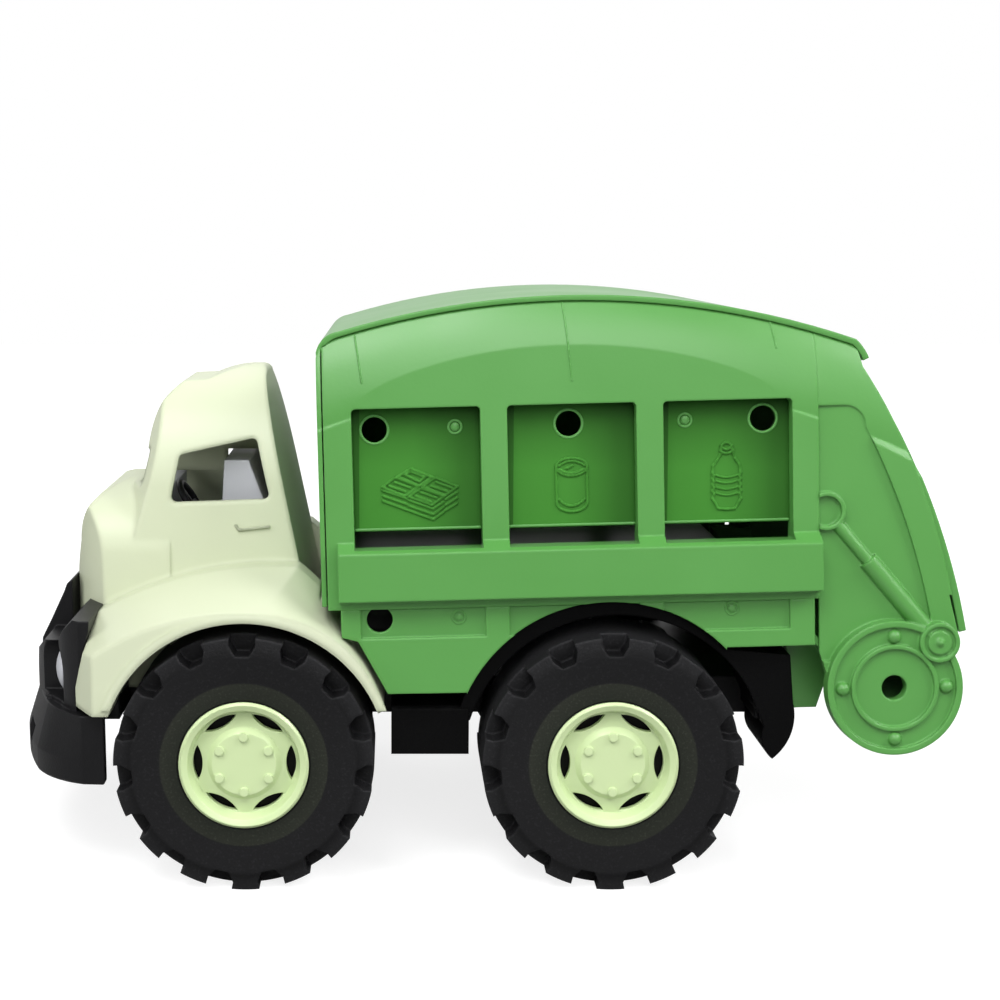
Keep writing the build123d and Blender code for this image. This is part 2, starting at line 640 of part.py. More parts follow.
low_cone = Pos(ring_low[0], disc_out + 0.6, ring_low[1]) * Rot(-90, 0, 0) * Cone(
    1.5, 0.4, 1.2, align=(Align.CENTER, Align.CENTER, Align.MIN))
high_ring = ring(ring_high_radius, ring_high_radius - ring_line, -panel, 0.6, *ring_high)
high_ring = high_ring & block((-260, -panel, 0), (tail_x, 5, 200))
run = Vector(ring_low[0] - ring_high[0], ring_low[1] - ring_high[1])
run_turn = run.get_angle(Vector(0, -1))


def ram_bar(radius, start, end):
    """Half-round bar lying on the side, from one share of the ram's run to another."""
    length = run.length * (end - start)
    middle = (start + end) / 2
    place = Pos(ring_high[0] + run.X * middle, -recess_depth, ring_high[1] + run.Y * middle)
    return place * Rot(0, run_turn, 0) * Cylinder(radius, length)


ram = ram_bar(1.9, 0.1, 0.42) + ram_bar(2.9, 0.38, 0.9)
ram = ram & block((-260, -panel, 0), (0, 5, 200))
tail = tail - lean_left(band_pocket)
tail = tail + [lean_left(piece) for piece in [disc, low_boss, low_cone, high_ring, ram] + domes]
gate_pivot = (-185.5, 155.5)
gate_bar_half = 54.6
pin_bore = gate_pin_radius + hinge_clearance
gate_boss = bar(gate_boss_radius, gate_bar_half + 0.4, 70.0, *gate_pivot) & bed_outer
tail = tail + gate_boss - bar(pin_bore, gate_bar_half, gate_bar_half + gate_pin_length + 0.4, *gate_pivot)
tail = tail - lean_left(bar(disc_hole_radius, -20, 10, *disc_centre))

# Floor, hopper pan and the two arms that carry the hinge pins.
arm_inner = lug_y + lug_width + arm_gap
arm_face = outline(
    (hinge + 3.5, 62.0), (hinge + 2.0, 51.0), (hinge - 5.0, 51.0), (hinge - 8.0, 60.0), (hinge - 6.0, floor_z + 0.1),
    (hinge + 8.0, floor_z + 0.1), (hinge + 4.8, 72.0))
arm = across(arm_face, arm_inner, arm_inner + arm_width)
arm = arm + bar(hinge_radius, lug_y - 0.5, arm_inner + 1, hinge, hinge_z)
pan_start = -160.0
floor_fit = 0.05
floor = block((pan_start, -80.0, floor_z), (bed_front - front_thickness, 80.0, floor_z + panel))
pan_face = outline(
    (pan_start, floor_z), (pan_start, floor_z + panel), (-181.6, 70.0), ((-186.6, 59.0), (-196.0, 55.6)),
    ((-208.0, 61.0), (-213.6, 76.5)), (-216.0, 76.0), ((-210.0, 59.2), (-196.0, 53.4)), ((-184.6, 57.4), (-179.6, 69.0)))
floor = floor + across(pan_face, -80.0, 80.0) + both_sides(arm)
parts["bed_floor"] = floor & lean_wedge(panel + floor_fit)
parts["tail_panel_left"] = tail

# Cover: the roof, its rounded front corner and the front wall in one moulding.
roof_face = outline(
    (bed_front, corner_low_z), (corner_mid, roof_front), (roof_mid, roof_rear), ((-190.4, 163.6), (-192.0, 160.6)),
    (-190.3, 159.8), ((-188.8, 162.7), (roof_rear[0] + 0.9, roof_rear[1] - cover_thickness)),
    ((roof_mid[0], roof_mid[1] - cover_thickness), (roof_front[0], roof_front[1] - cover_thickness)),
    ((corner_mid[0] - 1.0, corner_mid[1] - 1.6), (bed_front - front_thickness, corner_low_z - 1.0)),
    (bed_front, corner_low_z - 1.0))
roof = across(roof_face, -cover_half, cover_half)
parts["bed_cover"] = roof + front_plate - both_sides(side) - both_sides(tail)

# ---- tailgate ---------------------------------------------------------------
gate_face = outline(
    (-192.0, 150.3), ((-206.4, 120.0), (-218.2, 77.2)), (-220.3, 77.7), ((-208.6, 120.6), (-193.8, 151.5)))
strap_face = outline(
    (gate_pivot[0] - 1.0, gate_pivot[1] + 2.0), (-193.8, 151.5), (-192.0, 150.3),
    (gate_pivot[0] + 1.0, gate_pivot[1] - 2.0))
gate = across(gate_face, -90, 90) & lean_wedge(panel + gate_side_gap) & crown_drum(panel + gate_side_gap, 0)
gate = gate + across(strap_face, -gate_bar_half, gate_bar_half)
gate = gate + bar(gate_bar_radius, -gate_bar_half, gate_bar_half, *gate_pivot)
pin_reach = gate_bar_half + gate_pin_length
gate = gate + bar(gate_pin_radius, -pin_reach, pin_reach, *gate_pivot)
ridge_places = [(-208.3, 120.6), (-215.7, 98.1)]
ridge_half = 62.0
gate = gate + [bar(0.9, -ridge_half, ridge_half, x, z) for x, z in ridge_places]
parts["tailgate"] = gate

for name in ("side_step", "mudguard", "bay_panels", "bed_skirt", "bed_side", "tail_panel"):
    parts[f"{name}_right"] = mirror(parts[f"{name}_left"], about=Plane.XZ)
tip = Pos(hinge, 0, hinge_z) * Rot(0, rake, 0) * Pos(-hinge, 0, -hinge_z)
raked = ("bay_", "bed_", "tail")
os.makedirs("parts", exist_ok=True)
for name, solid in parts.items():
    if name.startswith(raked):
        solid = tip * solid
    export_step(Pos(front_axle_x, 0, 0) * solid, f"parts/{name}.step")
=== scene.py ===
import bpy
import bmesh
import json
import math
from mathutils import Matrix, Vector
from mathutils.bvhtree import BVHTree

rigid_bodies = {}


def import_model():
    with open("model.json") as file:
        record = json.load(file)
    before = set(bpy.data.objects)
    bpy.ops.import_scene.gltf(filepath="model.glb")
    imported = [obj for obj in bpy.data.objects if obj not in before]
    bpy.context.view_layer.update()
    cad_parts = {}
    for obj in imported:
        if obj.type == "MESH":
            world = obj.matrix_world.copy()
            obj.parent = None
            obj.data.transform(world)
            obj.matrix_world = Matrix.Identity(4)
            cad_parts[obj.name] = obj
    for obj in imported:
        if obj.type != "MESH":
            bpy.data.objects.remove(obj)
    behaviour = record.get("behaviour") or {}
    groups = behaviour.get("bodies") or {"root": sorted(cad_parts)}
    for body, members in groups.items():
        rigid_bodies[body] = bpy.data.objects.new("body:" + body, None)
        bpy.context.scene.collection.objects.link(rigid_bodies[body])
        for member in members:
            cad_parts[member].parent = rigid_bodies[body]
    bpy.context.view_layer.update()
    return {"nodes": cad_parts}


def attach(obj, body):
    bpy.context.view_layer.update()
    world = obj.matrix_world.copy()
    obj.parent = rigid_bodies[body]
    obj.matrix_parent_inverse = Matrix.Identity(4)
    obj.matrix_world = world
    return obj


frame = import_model()
scene = bpy.context.scene
nodes = frame["nodes"]
for stray in [o for o in scene.objects if o.type in {"LIGHT", "CAMERA"} or o.name == "Cube"]:
    bpy.data.objects.remove(stray)

# ---- view and studio --------------------------------------------------------
# The truck is seen from its left side, a little from above, with a short telephoto lens.
# The lens shift keeps the truck in the middle of the square frame.
camera_data = bpy.data.cameras.new("camera")
camera_data.sensor_width = 36.0
camera_data.lens = 60.19
camera_data.shift_x = 0.1068
camera_data.shift_y = 0.0135
camera_data.clip_start = 0.01
camera_data.clip_end = 20.0
camera = bpy.data.objects.new("camera", camera_data)
scene.collection.objects.link(camera)
camera.location = (0.02544, 0.5654, 0.1963)
camera.rotation_euler = (math.radians(80.7), 0.0, math.radians(180.0))
scene.camera = camera
scene.view_settings.view_transform = "Standard"


def math_node(tree, operation, *values):
    """A maths node fed by sockets or numbers. Gives its output."""
    node = tree.nodes.new("ShaderNodeMath")
    node.operation = operation
    for socket, value in zip(node.inputs, values):
        if isinstance(value, (int, float)):
            socket.default_value = value
        else:
            tree.links.new(value, socket)
    return node.outputs[0]


def map_range(tree, value, given, wanted):
    """A clamped map of a socket from the given pair of values to the wanted pair. Gives its output."""
    node = tree.nodes.new("ShaderNodeMapRange")
    tree.links.new(value, node.inputs["Value"])
    node.inputs["From Min"].default_value, node.inputs["From Max"].default_value = given
    node.inputs["To Min"].default_value, node.inputs["To Max"].default_value = wanted
    return node.outputs[0]


# The floor is a plain pale sheet. It reads as white to the lens and keeps the truck's soft shadow.
floor_mesh = bpy.data.meshes.new("floor")
floor_bm = bmesh.new()
bmesh.ops.create_grid(floor_bm, x_segments=1, y_segments=1, size=4.0)
floor_bm.to_mesh(floor_mesh)
floor_bm.free()
floor = bpy.data.objects.new("floor", floor_mesh)
scene.collection.objects.link(floor)
floor_material = bpy.data.materials.new("floor_white")
floor_material.use_nodes = True
floor_tree = floor_material.node_tree
floor_shader = floor_tree.nodes["Principled BSDF"]
floor_shader.inputs["Base Color"].default_value = (0.35, 0.35, 0.35, 1)
floor_shader.inputs["Roughness"].default_value = 0.9
floor_glow = floor_tree.nodes.new("ShaderNodeEmission")
floor_glow.inputs["Color"].default_value = (1, 1, 1, 1)
floor_rays = floor_tree.nodes.new("ShaderNodeLightPath")
floor_place = floor_tree.nodes.new("ShaderNodeTexCoord")
floor_span = floor_tree.nodes.new("ShaderNodeVectorMath")
floor_span.operation = "LENGTH"
floor_tree.links.new(floor_place.outputs["Object"], floor_span.inputs[0])
floor_reach = map_range(floor_tree, floor_span.outputs["Value"], (0.25, 0.9), (0.8, 1.0))
floor_share = math_node(floor_tree, "MULTIPLY", floor_rays.outputs["Is Camera Ray"], floor_reach)
floor_tree.links.new(floor_share, floor_glow.inputs["Strength"])
floor_sum = floor_tree.nodes.new("ShaderNodeAddShader")
floor_tree.links.new(floor_shader.outputs["BSDF"], floor_sum.inputs[0])
floor_tree.links.new(floor_glow.outputs["Emission"], floor_sum.inputs[1])
floor_tree.links.new(floor_sum.outputs[0], floor_tree.nodes["Material Output"].inputs["Surface"])
floor_mesh.materials.append(floor_material)

# A white backdrop stands far behind the truck. Glossy plastic mirrors it at a shallow angle.
backdrop_mesh = bpy.data.meshes.new("backdrop")
backdrop_bm = bmesh.new()
bmesh.ops.create_grid(
    backdrop_bm, x_segments=1, y_segments=1, size=3.0,
    matrix=Matrix.Translation((0, -2.6, 2.0)) @ Matrix.Rotation(math.radians(90.0), 4, "X"))
backdrop_bm.to_mesh(backdrop_mesh)
backdrop_bm.free()
backdrop = bpy.data.objects.new("backdrop", backdrop_mesh)
scene.collection.objects.link(backdrop)
backdrop_material = bpy.data.materials.new("backdrop_white")
backdrop_material.use_nodes = True
backdrop_tree = backdrop_material.node_tree
backdrop_tree.nodes.remove(backdrop_tree.nodes["Principled BSDF"])
backdrop_glow = backdrop_tree.nodes.new("ShaderNodeEmission")
backdrop_glow.inputs["Color"].default_value = (1, 1, 1, 1)
backdrop_rays = backdrop_tree.nodes.new("ShaderNodeLightPath")
backdrop_seen = math_node(
    backdrop_tree, "MAXIMUM", backdrop_rays.outputs["Is Camera Ray"], backdrop_rays.outputs["Is Glossy Ray"])
backdrop_tree.links.new(backdrop_seen, backdrop_glow.inputs["Strength"])
backdrop_surface = backdrop_tree.nodes["Material Output"].inputs["Surface"]
backdrop_tree.links.new(backdrop_glow.outputs["Emission"], backdrop_surface)
backdrop_mesh.materials.append(backdrop_material)

# The world is an even pale studio, white where the lens sees it.
world = bpy.data.worlds.new("studio")
world.use_nodes = True
scene.world = world
world_tree = world.node_tree
world_even = world_tree.nodes["Background"]
world_even.inputs["Color"].default_value = (1, 1, 1, 1)
world_even.inputs["Strength"].default_value = 0.14
world_white = world_tree.nodes.new("ShaderNodeBackground")
world_white.inputs["Color"].default_value = (1, 1, 1, 1)
world_white.inputs["Strength"].default_value = 1.0
world_rays = world_tree.nodes.new("ShaderNodeLightPath")
world_seen = math_node(
    world_tree, "MAXIMUM", world_rays.outputs["Is Camera Ray"], world_rays.outputs["Is Transmission Ray"])
world_mix = world_tree.nodes.new("ShaderNodeMixShader")
world_tree.links.new(world_seen, world_mix.inputs["Fac"])
world_tree.links.new(world_even.outputs[0], world_mix.inputs[1])
world_tree.links.new(world_white.outputs[0], world_mix.inputs[2])
world_tree.links.new(world_mix.outputs[0], world_tree.nodes["World Output"].inputs["Surface"])


def soft_lamp(name, place, target, size, watts):
    """A square soft box aimed at a point."""
    data = bpy.data.lights.new(name, "AREA")
    data.size = size
    data.energy = watts
    lamp = bpy.data.objects.new(name, data)
    scene.collection.objects.link(lamp)
    lamp.location = place
    lamp.rotation_euler = (Vector(target) - Vector(place)).to_track_quat("-Z", "Y").to_euler()


soft_lamp("key_lamp", (0.35, 0.75, 1.25), (0, 0, 0.08), 0.6, 12.0)
soft_lamp("sky_lamp", (-0.1, 1.1, 0.8), (0, 0, 0.12), 0.7, 8.0)
soft_lamp("rear_lamp", (-1.0, 0.45, 0.9), (0, 0, 0.08), 0.6, 12.0)
soft_lamp("back_lamp", (0.1, -0.7, 1.2), (0, 0, 0.1), 1.0, 4.0)
soft_lamp("front_lamp", (1.1, 0.5, 0.5), (0, 0, 0.08), 0.6, 4.5)


# ---- chassis ----------------------------------------------------------------
# The chassis is one black injection moulding with a fine spark-eroded grain. It carries the axles
# in two pairs of saddles, and the step boxes and mudguards clip to its sides.
def moulded_group():
    """Dyed plastic: slow colour drift, fine grain, and softened edges whose colour is lifted by a painted
    highlight.
    """
    group = bpy.data.node_groups.new("moulded_plastic", "ShaderNodeTree")
    group.interface.new_socket("Color", in_out="INPUT", socket_type="NodeSocketColor")
    for label in ("Drift", "Grain Size", "Grain Depth", "Roughness", "Painted Edge Highlight"):
        group.interface.new_socket(label, in_out="INPUT", socket_type="NodeSocketFloat")
    group.interface.new_socket("Bent Normal", in_out="INPUT", socket_type="NodeSocketVector")
    group.interface.new_socket("Color", in_out="OUTPUT", socket_type="NodeSocketColor")
    group.interface.new_socket("Roughness", in_out="OUTPUT", socket_type="NodeSocketFloat")
    group.interface.new_socket("Normal", in_out="OUTPUT", socket_type="NodeSocketVector")
    given = group.nodes.new("NodeGroupInput")
    gone = group.nodes.new("NodeGroupOutput")
    place = group.nodes.new("ShaderNodeTexCoord")
    cloud = group.nodes.new("ShaderNodeTexNoise")
    cloud.inputs["Scale"].default_value = 22.0
    cloud.inputs["Detail"].default_value = 3.0
    grain = group.nodes.new("ShaderNodeTexNoise")
    grain.inputs["Detail"].default_value = 2.0
    group.links.new(place.outputs["Object"], cloud.inputs["Vector"])
    group.links.new(place.outputs["Object"], grain.inputs["Vector"])
    group.links.new(given.outputs["Grain Size"], grain.inputs["Scale"])
    spread = map_range(group, cloud.outputs["Fac"], (0.3, 0.7), (-1.0, 1.0))
    push = math_node(group, "MULTIPLY_ADD", spread, given.outputs["Drift"], 1.0)
    flat = group.nodes.new("ShaderNodeNewGeometry")
    turn = group.nodes.new("ShaderNodeVectorMath")
    turn.operation = "DOT_PRODUCT"
    group.links.new(given.outputs["Bent Normal"], turn.inputs[0])
    group.links.new(flat.outputs["Normal"], turn.inputs[1])
    # Where the softened edge turns the normal, the colour is lifted: a painted edge highlight.
    edge = map_range(group, turn.outputs["Value"], (1.0, 0.8), (0.0, 1.0))
    lift = math_node(group, "MULTIPLY_ADD", edge, given.outputs["Painted Edge Highlight"], push)
    tint = group.nodes.new("ShaderNodeVectorMath")
    tint.operation = "SCALE"
    group.links.new(given.outputs["Color"], tint.inputs[0])
    group.links.new(lift, tint.inputs["Scale"])
    group.links.new(tint.outputs[0], gone.inputs["Color"])
    rough = math_node(group, "MULTIPLY_ADD", spread, 0.05, given.outputs["Roughness"])
    group.links.new(rough, gone.inputs["Roughness"])
    bump = group.nodes.new("ShaderNodeBump")
    group.links.new(grain.outputs["Fac"], bump.inputs["Height"])
    group.links.new(given.outputs["Grain Depth"], bump.inputs["Distance"])
    group.links.new(given.outputs["Bent Normal"], bump.inputs["Normal"])
    group.links.new(bump.outputs["Normal"], gone.inputs["Normal"])
    return group


moulded = moulded_group()


def moulded_material(name, color, roughness, drift, grain, sheen=0.5, soft_edge=0.0006, painted_edge_highlight=0.15):
    """One plastic finish. grain is (size, depth), soft_edge the radius its edges look rounded by, and the
    last argument the strength of the painted highlight on those edges.
    """
    material = bpy.data.materials.new(name)
    material.use_nodes = True
    tree = material.node_tree
    shader = tree.nodes["Principled BSDF"]
    shader.inputs["Specular IOR Level"].default_value = sheen
    soft = tree.nodes.new("ShaderNodeBevel")
    soft.samples = 4
    soft.inputs["Radius"].default_value = soft_edge
    mix = tree.nodes.new("ShaderNodeGroup")
    mix.node_tree = moulded
    mix.inputs["Color"].default_value = (*color, 1)
    mix.inputs["Drift"].default_value = drift
    mix.inputs["Grain Size"].default_value = grain[0]
    mix.inputs["Grain Depth"].default_value = grain[1]
    mix.inputs["Roughness"].default_value = roughness
    mix.inputs["Painted Edge Highlight"].default_value = painted_edge_highlight
    tree.links.new(soft.outputs["Normal"], mix.inputs["Bent Normal"])
    tree.links.new(mix.outputs["Color"], shader.inputs["Base Color"])
    tree.links.new(mix.outputs["Roughness"], shader.inputs["Roughness"])
    tree.links.new(mix.outputs["Normal"], shader.inputs["Normal"])
    return material


def paint(material, *names):
    """Give one finish to some of the solid pieces."""
    for name in names:
        nodes[name].data.materials.clear()
        nodes[name].data.materials.append(material)


def add_piece(name, bm, material, body):
    """Turn a bmesh into a smooth-shaded object that rides on one body."""
    for face in bm.faces:
        face.smooth = True
    mesh = bpy.data.meshes.new(name)
    bm.to_mesh(mesh)
    bm.free()
    mesh.materials.append(material)
    piece = bpy.data.objects.new(name, mesh)
    scene.collection.objects.link(piece)
    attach(piece, body)
    return piece


black_plastic = moulded_material(
    "black_plastic", (0.006, 0.006, 0.0068), 0.42, 0.12, (1600.0, 0.00006), sheen=0.22, soft_edge=0.0009,
    painted_edge_highlight=0.6)
# The steps and mudguards take a darker, less glossy copy of the black plastic: painted shade for their place
# under the bed.
shaded_black = moulded_material(
    "shaded_black_plastic", (0.002, 0.002, 0.0022), 0.5, 0.12, (1600.0, 0.00006), sheen=0.08, soft_edge=0.0009,
    painted_edge_highlight=0.6)
paint(black_plastic, "chassis_frame")
paint(shaded_black, "side_step_left", "side_step_right", "mudguard_left", "mudguard_right")

# Pan-head screws close the saddles from below, two at each axle on each side. They are zinc-plated
# steel with a cross recess.
screw_steel = moulded_material("screw_steel", (0.55, 0.56, 0.58), 0.3, 0.06, (1200.0, 0.00002), painted_edge_highlight=0.1)
screw_steel.node_tree.nodes["Principled BSDF"].inputs["Metallic"].default_value = 1.0
front_axle_x = 0.07064
rear_axle_x = front_axle_x - 0.1117
saddle_foot_z = 0.0335
screw_bm = bmesh.new()
for axle_x in (front_axle_x, rear_axle_x):
    for side_y in (-0.036, 0.036):
        for step in (-0.0048, 0.0048):
            seat = Matrix.Translation((axle_x + step, side_y, saddle_foot_z - 0.0003))
            head = bmesh.ops.create_uvsphere(
                screw_bm, u_segments=20, v_segments=10, radius=0.0018, matrix=seat)
            bmesh.ops.scale(screw_bm, vec=(1, 1, 0.45), space=seat.inverted(), verts=head["verts"])
            for quarter in (0.0, math.pi / 2):
                bar = bmesh.ops.create_cube(
                    screw_bm, size=1.0,
                    matrix=seat @ Matrix.Rotation(quarter, 4, "Z") @ Matrix.Translation((0, 0, -0.00074))
                    @ Matrix.Diagonal((0.0019, 0.00045, 0.0002, 1)))
                bmesh.ops.bevel(
                    screw_bm, geom=list({e for v in bar["verts"] for e in v.link_edges}), affect="EDGES",
                    offset=0.00005, segments=1, profile=0.5, material=-1)
add_piece("saddle_screws", screw_bm, screw_steel, "chassis")

# ---- wheels -----------------------------------------------------------------
# Axles are bright drawn wire rod with press-on rims. The rims are lime mouldings, glossy on the
# hub cap and the ring.
axle_steel = moulded_material("axle_steel", (0.6, 0.6, 0.6), 0.28, 0.05, (900.0, 0.00002), painted_edge_highlight=0.1)
axle_steel.node_tree.nodes["Principled BSDF"].inputs["Metallic"].default_value = 1.0
paint(axle_steel, "front_axle", "rear_axle")
rim_green = moulded_material(
    "rim_green_plastic", (0.54, 0.66, 0.36), 0.34, 0.02, (900.0, 0.00002), painted_edge_highlight=0.12)
rim_nodes = [name for name in nodes if name.startswith("rim")]
paint(rim_green, *rim_nodes)

# Tyres are blow-moulded matt black plastic. A smooth polished ring runs round the rim, its colour lightened
# and greened by a painted reflection. The sidewall is grained and dusty. Past the sidewall the colour darkens
# in a narrow band, then lightens toward the tread: a painted highlight on the shoulder. A dark groove parts
# the tyre from the rim.
tyre_plastic = moulded_material(
    "tyre_plastic", (0.006, 0.006, 0.0065), 0.52, 0.12, (1500.0, 0.00012), sheen=0.16, soft_edge=0.0011,
    painted_edge_highlight=0.7)
tyre_tree = tyre_plastic.node_tree
tyre_place = tyre_tree.nodes.new("ShaderNodeTexCoord")
tyre_split = tyre_tree.nodes.new("ShaderNodeSeparateXYZ")
tyre_tree.links.new(tyre_place.outputs["Object"], tyre_split.inputs[0])
middle_x = (front_axle_x + rear_axle_x) / 2
axle_z = 0.0395
to_middle = math_node(tyre_tree, "SUBTRACT", tyre_split.outputs["X"], middle_x)
from_middle = math_node(tyre_tree, "ABSOLUTE", to_middle)
from_axle = math_node(tyre_tree, "SUBTRACT", from_middle, front_axle_x - middle_x)
above_axle = math_node(tyre_tree, "SUBTRACT", tyre_split.outputs["Z"], axle_z)
radius_squared = math_node(
    tyre_tree, "MULTIPLY_ADD", from_axle, from_axle, math_node(tyre_tree, "MULTIPLY", above_axle, above_axle))
tyre_reach = math_node(tyre_tree, "POWER", radius_squared, 0.5)
tyre_bands_and_painted_sheen = tyre_tree.nodes.new("ShaderNodeValToRGB")
tyre_bands_and_painted_sheen.color_ramp.interpolation = "LINEAR"
tyre_bands_and_painted_sheen.color_ramp.elements[0].position = 0.0
tyre_bands_and_painted_sheen.color_ramp.elements[0].color = (0.002, 0.002, 0.002, 1)
tyre_bands_and_painted_sheen.color_ramp.elements[1].position = 1.0
tyre_bands_and_painted_sheen.color_ramp.elements[1].color = (0.012, 0.012, 0.013, 1)
# The ring's greenish band is a painted reflection; the rise toward the tread is a painted shoulder highlight.
for position, shade in (
        (0.503, (0.001, 0.001, 0.001, 1)), (0.512, (0.013, 0.015, 0.011, 1)),
        (0.632, (0.017, 0.019, 0.014, 1)),
        (0.642, (0.007, 0.007, 0.0077, 1)), (0.840, (0.007, 0.007, 0.0077, 1)),
        (0.868, (0.004, 0.004, 0.0045, 1)),
        (0.930, (0.009, 0.009, 0.0098, 1))):
    tyre_bands_and_painted_sheen.color_ramp.elements.new(position).color = shade
zone_end = 0.04
tyre_tree.links.new(math_node(tyre_tree, "DIVIDE", tyre_reach, zone_end), tyre_bands_and_painted_sheen.inputs["Fac"])
dust = tyre_tree.nodes.new("ShaderNodeTexNoise")
dust.inputs["Scale"].default_value = 1300.0
dust.inputs["Detail"].default_value = 1.0
tyre_tree.links.new(tyre_place.outputs["Object"], dust.inputs["Vector"])
specks = map_range(tyre_tree, dust.outputs["Fac"], (0.56, 0.74), (1.0, 1.7))
specks_and_painted_sheen = tyre_tree.nodes.new("ShaderNodeVectorMath")
specks_and_painted_sheen.operation = "SCALE"
tyre_tree.links.new(tyre_bands_and_painted_sheen.outputs["Color"], specks_and_painted_sheen.inputs[0])
tyre_tree.links.new(specks, specks_and_painted_sheen.inputs["Scale"])
tyre_mix = next(node for node in tyre_tree.nodes if node.type == "GROUP")
tyre_tree.links.new(specks_and_painted_sheen.outputs[0], tyre_mix.inputs["Color"])
tyre_nodes = [name for name in nodes if name.startswith("tyre")]
paint(tyre_plastic, *tyre_nodes)

# ---- cab --------------------------------------------------------------------
# The cab and its fenders are one pale lime moulding, satin and soft at every corner. The grille,
# bumper and lamp housings are a black moulding plugged on in front, with grey lamp inserts.
cab_green = moulded_material(
    "cab_green_plastic", (0.56, 0.605, 0.435), 0.42, 0.015, (900.0, 0.00002), sheen=0.32, soft_edge=0.0026,
    painted_edge_highlight=0.03)
paint(cab_green, "cab_shell")
paint(black_plastic, "grille_bumper", "steering_wheel")
grey_plastic = moulded_material(
    "grey_plastic", (0.45, 0.46, 0.49), 0.36, 0.03, (900.0, 0.00002), soft_edge=0.0012)
paint(grey_plastic, "seat_and_dash", "headlamps")


def rib(bm, path, radius, place):
    """Round rib along a path, with a ball at every joint."""
    points = [place @ Vector(point) for point in path]
    for point in points:
        bmesh.ops.create_uvsphere(
            bm, u_segments=10, v_segments=6, radius=radius, matrix=Matrix.Translation(point))
    for start, end in zip(points[:-1], points[1:]):
        run = end - start
        turn = run.to_track_quat("Z", "Y").to_matrix().to_4x4()
        bmesh.ops.create_cone(
            bm, cap_ends=False, segments=10, radius1=radius, radius2=radius, depth=run.length,
            matrix=Matrix.Translation((start + end) / 2) @ turn)


def mirror_copy(bm):
    """Add the same shapes on the other side of the truck."""
    twin = bmesh.ops.duplicate(bm, geom=bm.verts[:] + bm.edges[:] + bm.faces[:])["geom"]
    twin_verts = [item for item in twin if isinstance(item, bmesh.types.BMVert)]
    bmesh.ops.scale(bm, vec=(1, -1, 1), verts=twin_verts)
    bmesh.ops.reverse_faces(bm, faces=[item for item in twin if isinstance(item, bmesh.types.BMFace)])


# Door handles are low bars moulded with the cab's sides, one under each side window.
handle_bm = bmesh.new()
handle_place = Matrix.Translation((front_axle_x, 0, 0))
handle_path = [(0.0050, 0.04005, 0.1064), (0.0040, 0.04020, 0.1050), (-0.0056, 0.04015, 0.1060)]
rib(handle_bm, handle_path, 0.0005, handle_place)
mirror_copy(handle_bm)
add_piece("door_handles", handle_bm, cab_green, "chassis")

# ---- bed --------------------------------------------------------------------
# The tipping bed is assembled from mid-green mouldings: floor with hopper, skirts, side walls with
# three sorting bays, tail panels with a disc, and a cover.
bed_green = moulded_material(
    "bed_green_plastic", (0.080, 0.27, 0.056), 0.36, 0.025, (900.0, 0.00002), soft_edge=0.0010,
    painted_edge_highlight=0.35)
# The bays get their own darker, more saturated copy of the bed green: painted shade for the deep frames.
bay_shaded_color = (0.058, 0.24, 0.034)
bay_shaded_green = moulded_material(
    "bay_painted_shade_plastic", bay_shaded_color, 0.42, 0.025, (900.0, 0.00002), sheen=0.07, soft_edge=0.0010,
    painted_edge_highlight=0.35)
paint(bed_green, "bed_floor", "bed_cover", "tailgate")
for side_name in ("left", "right"):
    paint(bed_green, *[f"{name}_{side_name}" for name in ("bed_skirt", "bed_side", "tail_panel")])
    paint(bay_shaded_green, f"bay_panels_{side_name}")

# The bay panels lie in deep frames. Their colour is painted darker toward the top and the rear edge
# of each bay, a painted shade for the frame's shadow, not made by the lamps. Bays repeat every bay_pitch
# millimetres.
bay_pitch = 46.85
bay_first = -34.9
bay_tree = bay_shaded_green.node_tree
bay_place = bay_tree.nodes.new("ShaderNodeTexCoord")
bay_split = bay_tree.nodes.new("ShaderNodeSeparateXYZ")
bay_tree.links.new(bay_place.outputs["Object"], bay_split.inputs[0])
bay_count = math_node(
    bay_tree, "MULTIPLY_ADD", bay_split.outputs["X"], -1000.0 / bay_pitch,
    (1000.0 * front_axle_x + bay_first) / bay_pitch)
bay_rear_painted_shade = map_range(bay_tree, math_node(bay_tree, "FRACT", bay_count), (0.35, 0.8), (0.84, 0.45))
bay_top_painted_shade = map_range(bay_tree, bay_split.outputs["Z"], (0.128, 0.152), (1.0, 0.4))
painted_bay_shade = math_node(bay_tree, "MULTIPLY", bay_rear_painted_shade, bay_top_painted_shade)
bay_painted_tint = bay_tree.nodes.new("ShaderNodeVectorMath")
bay_painted_tint.operation = "SCALE"
bay_painted_tint.inputs[0].default_value = bay_shaded_color
bay_tree.links.new(painted_bay_shade, bay_painted_tint.inputs["Scale"])
bay_mix = next(node for node in bay_tree.nodes if node.type == "GROUP")
bay_tree.links.new(bay_painted_tint.outputs[0], bay_mix.inputs["Color"])

# Places on the bed's leaning side are (distance from the front axle, out from the wall, height) in
# millimetres, before the bed's small rake.
millimetre = Matrix.Diagonal((0.001, 0.001, 0.001, 1))
hinge_place = Vector((-0.1732, 0, 0.0545))
rake = (Matrix.Translation(hinge_place) @ Matrix.Rotation(math.radians(1.5), 4, "Y")
        @ Matrix.Translation(-hinge_place))
lean = (Matrix.Translation((0, 0.073, 0.060)) @ Matrix.Rotation(math.radians(5.0), 4, "X")
        @ Matrix.Translation((0, 0, -0.060)))
bed_side = Matrix.Translation((front_axle_x, 0, 0)) @ rake @ lean @ millimetre
bay_out = -5.0


def flat_path(points, out=bay_out, closed=False):
    """Points (distance, height) laid on the side at one depth."""
    path = [(x, out, z) for x, z in points]
    return path + path[:1] if closed else path


